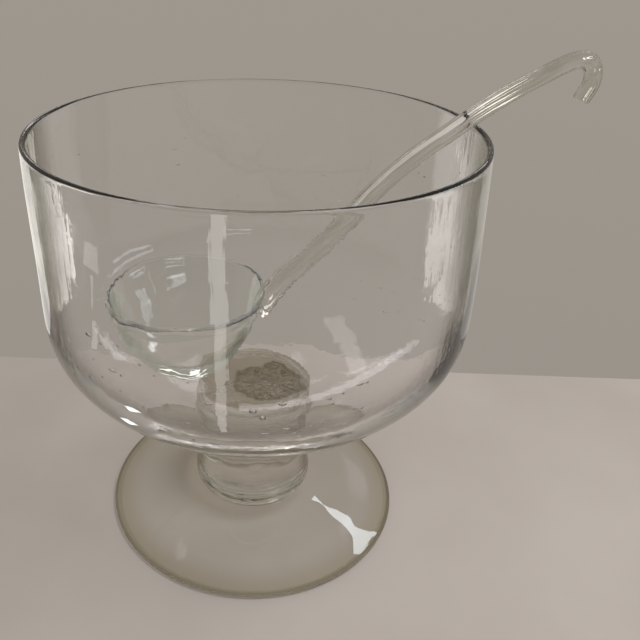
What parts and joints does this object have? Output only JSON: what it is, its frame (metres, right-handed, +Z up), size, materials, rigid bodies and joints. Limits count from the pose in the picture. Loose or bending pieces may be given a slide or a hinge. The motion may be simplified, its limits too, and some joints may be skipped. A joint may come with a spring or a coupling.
{
  "type": "punch bowl",
  "caption": "Footed blown-glass punch bowl with a near-upright wall and thick rounded bottom on a short solid stem, holding a glass ladle whose rod leans out over the rim to a turned-down end.",
  "frame": {"origin": "centre of the foot's underside, on the bowl's axis, level with the surface it stands on", "axes": "+Z up along the bowl's axis, +X towards the side where the ladle's handle leaves the bowl, -Y towards the front"},
  "size_m": [0.3153, 0.2556, 0.3065],
  "materials": {
    "bowl_glass": "clear blown glass, faintly grey, with small seeds",
    "stem_glass": "clear solid glass, faintly grey",
    "foot_glass": "clear glass with a faint olive-grey tint",
    "ladle_cup_glass": "clear blown glass with a faint green tint",
    "ladle_handle_glass": "clear drawn glass rod with lengthwise streaks"
  },
  "bodies": {
    "bowl_body": {"bowl": "bowl_glass", "stem": "stem_glass", "foot": "foot_glass"},
    "ladle": {"ladle_cup": "ladle_cup_glass", "ladle_handle": "ladle_handle_glass"}
  },
  "joints": [
    {"name": "ladle_lift", "type": "slide", "parent": "bowl_body", "child": "ladle", "axis": [0, 0, 1], "range_m": [0, 0.2]}
  ]
}
